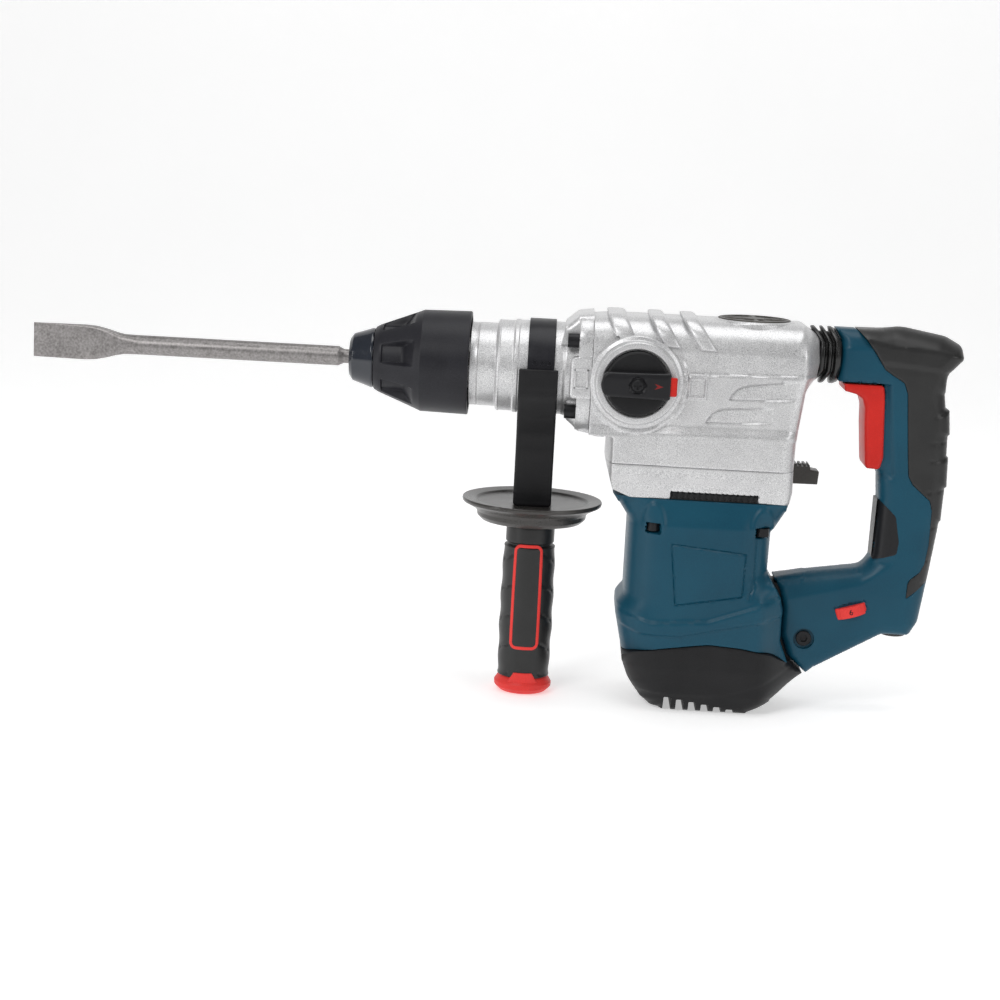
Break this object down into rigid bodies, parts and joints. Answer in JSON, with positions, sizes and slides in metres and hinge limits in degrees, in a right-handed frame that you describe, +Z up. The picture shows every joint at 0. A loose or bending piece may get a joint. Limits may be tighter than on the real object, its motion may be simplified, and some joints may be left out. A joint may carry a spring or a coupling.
{
  "type": "rotary hammer",
  "caption": "Electric rotary hammer with a flat chisel, a clamped side handle, an upright motor, a mode knob and a rear handle with a trigger",
  "frame": {"origin": "on the spindle axis, at the middle of the collar on the barrel that the side handle is clamped on", "axes": "+X back along the spindle towards the rear handle, so the bit points to -X; +Z up, from the motor towards the spindle; the mode knob is on the -Y side"},
  "size_m": [0.6636, 0.1129, 0.282],
  "materials": {
    "cast_alloy": "silver painted die casting, fine orange-peel grain",
    "blue_plastic": "glass-filled nylon, deep petrol blue, semi-gloss",
    "black_plastic": "moulded nylon, fine grain",
    "black_rubber": "soft-grip rubber, matt",
    "sleeve_plastic": "dark grey satin plastic",
    "nose_rubber": "glossy blue-black dust cap",
    "red_plastic": "moulded red plastic, semi-gloss",
    "red_rubber": "red soft plastic end cap",
    "black_screws": "black oxide steel",
    "strap_steel": "black painted steel strap",
    "bit_steel": "forged and ground tool steel",
    "machined_steel": "machined steel, oiled",
    "bearing_steel": "ground bearing steel",
    "lamination": "stacked lamination steel",
    "copper": "enamelled copper",
    "carbon": "carbon graphite",
    "cap_bronze": "dark grey-bronze painted cap",
    "seal_rubber": "nitrile rubber"
  },
  "bodies": {
    "housing": {"front_barrel": "cast_alloy", "barrel_bolts": "black_screws", "gear_housing": "cast_alloy", "gearbox_base": "cast_alloy", "vent_grille": "black_plastic", "oil_cap": "cap_bronze", "motor_housing": "blue_plastic", "motor_screws": "black_screws", "motor_cap": "black_plastic", "stator_core": "lamination", "field_coils": "copper", "brush_holders": "black_plastic", "carbon_brushes": "carbon", "armature_bearings": "bearing_steel", "shaft_bearings": "bearing_steel", "spindle_bearings": "bearing_steel", "nose_seal": "seal_rubber", "bellows": "black_rubber"},
    "armature": {"armature_shaft": "machined_steel", "armature_core": "lamination", "commutator": "copper", "cooling_fan": "black_plastic"},
    "crank": {"crankshaft": "machined_steel", "crank_gear": "machined_steel"},
    "layshaft": {"intermediate_shaft": "machined_steel", "intermediate_gear": "machined_steel", "bevel_pinion": "machined_steel"},
    "spindle": {"tool_holder": "machined_steel", "hammer_cylinder": "machined_steel", "ring_gear": "machined_steel", "locking_balls": "bearing_steel", "nose_cap": "nose_rubber", "lock_spring": "machined_steel"},
    "locking_sleeve": {"locking_sleeve": "sleeve_plastic"},
    "bit": {"chisel_bit": "bit_steel"},
    "striker": {"striker": "machined_steel"},
    "impact_bolt": {"impact_bolt": "machined_steel"},
    "piston": {"piston": "machined_steel", "wrist_pin": "machined_steel", "connecting_rod": "machined_steel", "crank_pin": "machined_steel"},
    "mode_knob": {"mode_knob": "black_plastic", "knob_screw": "black_screws"},
    "lock_button": {"lock_button": "red_plastic"},
    "rear_lever": {"rear_lever": "black_plastic"},
    "rear_handle": {"handle_left_shell": "blue_plastic", "handle_right_shell": "blue_plastic", "rear_grip": "black_rubber", "switch_body": "black_plastic", "handle_screws": "black_screws", "pivot_bolt": "black_screws", "cable_gland": "seal_rubber"},
    "trigger": {"trigger": "red_plastic"},
    "speed_dial": {"speed_dial": "red_plastic"},
    "side_handle": {"clamp_band": "strap_steel", "handle_bracket": "black_plastic", "clamp_bolt": "black_screws"},
    "side_grip": {"flange_disc": "black_rubber", "side_grip": "black_rubber", "grip_end_cap": "red_rubber"}
  },
  "joints": [
    {"name": "armature_spin", "type": "hinge", "parent": "housing", "child": "armature", "pos_m": [0.122, 0, -0.1], "axis": [0, 0, 1], "continuous": true},
    {"name": "crank_spin", "type": "hinge", "parent": "housing", "child": "crank", "pos_m": [0.15325, 0, -0.05], "axis": [0, 0, 1], "continuous": true},
    {"name": "layshaft_spin", "type": "hinge", "parent": "housing", "child": "layshaft", "pos_m": [0.0895, 0, -0.05], "axis": [0, 0, 1], "continuous": true},
    {"name": "spindle_spin", "type": "hinge", "parent": "housing", "child": "spindle", "pos_m": [0, 0, 0], "axis": [1, 0, 0], "continuous": true},
    {"name": "piston_stroke", "type": "slide", "parent": "housing", "child": "piston", "axis": [-1, 0, 0], "range_m": [0, 0.026]},
    {"name": "striker_flight", "type": "slide", "parent": "spindle", "child": "striker", "axis": [1, 0, 0], "range_m": [0, 0.035]},
    {"name": "impact_bolt_slide", "type": "slide", "parent": "spindle", "child": "impact_bolt", "axis": [-1, 0, 0], "range_m": [0, 0.008]},
    {"name": "bit_slide", "type": "slide", "parent": "spindle", "child": "bit", "axis": [-1, 0, 0], "range_m": [0, 0.008]},
    {"name": "sleeve_slide", "type": "slide", "parent": "spindle", "child": "locking_sleeve", "axis": [1, 0, 0], "range_m": [0, 0.008], "stiffness_N_per_m": 1200, "springref_m": -0.005, "deforming": ["lock_spring"]},
    {"name": "knob_turn", "type": "hinge", "parent": "housing", "child": "mode_knob", "pos_m": [0.07, -0.05, -0.0025], "axis": [0, -1, 0], "range_deg": [0, 180]},
    {"name": "lock_button_push", "type": "slide", "parent": "mode_knob", "child": "lock_button", "axis": [-1, 0, 0], "range_m": [0, 0.0025], "stiffness_N_per_m": 300, "springref_m": -0.002},
    {"name": "rear_lever_turn", "type": "hinge", "parent": "housing", "child": "rear_lever", "pos_m": [0.18, 0, -0.07], "axis": [1, 0, 0], "range_deg": [0, 90]},
    {"name": "handle_float", "type": "hinge", "parent": "housing", "child": "rear_handle", "pos_m": [0.202, 0, -0.184], "axis": [0, 1, 0], "range_deg": [-1.6, 0], "stiffness_Nm_per_rad": 200, "springref_deg": 0.57, "deforming": ["bellows"]},
    {"name": "trigger_pull", "type": "hinge", "parent": "rear_handle", "child": "trigger", "pos_m": [0.246, 0, -0.002], "axis": [0, -1, 0], "range_deg": [0, 6], "stiffness_Nm_per_rad": 0.6, "springref_deg": -8.59},
    {"name": "dial_turn", "type": "hinge", "parent": "rear_handle", "child": "speed_dial", "pos_m": [0.234, -0.0055, -0.162], "axis": [-0.2924, 0, 0.9563], "range_deg": [-150, 150]},
    {"name": "handle_swivel", "type": "hinge", "parent": "housing", "child": "side_handle", "pos_m": [0, 0, 0], "axis": [1, 0, 0], "continuous": true},
    {"name": "grip_twist", "type": "hinge", "parent": "side_handle", "child": "side_grip", "pos_m": [0.00125, 0, -0.15], "axis": [0, 0, 1], "continuous": true}
  ],
  "couplings": [
    {"joint": "impact_bolt_slide", "follows": "bit_slide", "ratio": 1},
    {"joint": "crank_spin", "follows": "armature_spin", "ratio": -0.21951},
    {"joint": "layshaft_spin", "follows": "armature_spin", "ratio": -0.2093},
    {"joint": "spindle_spin", "follows": "armature_spin", "ratio": 0.069767}
  ]
}
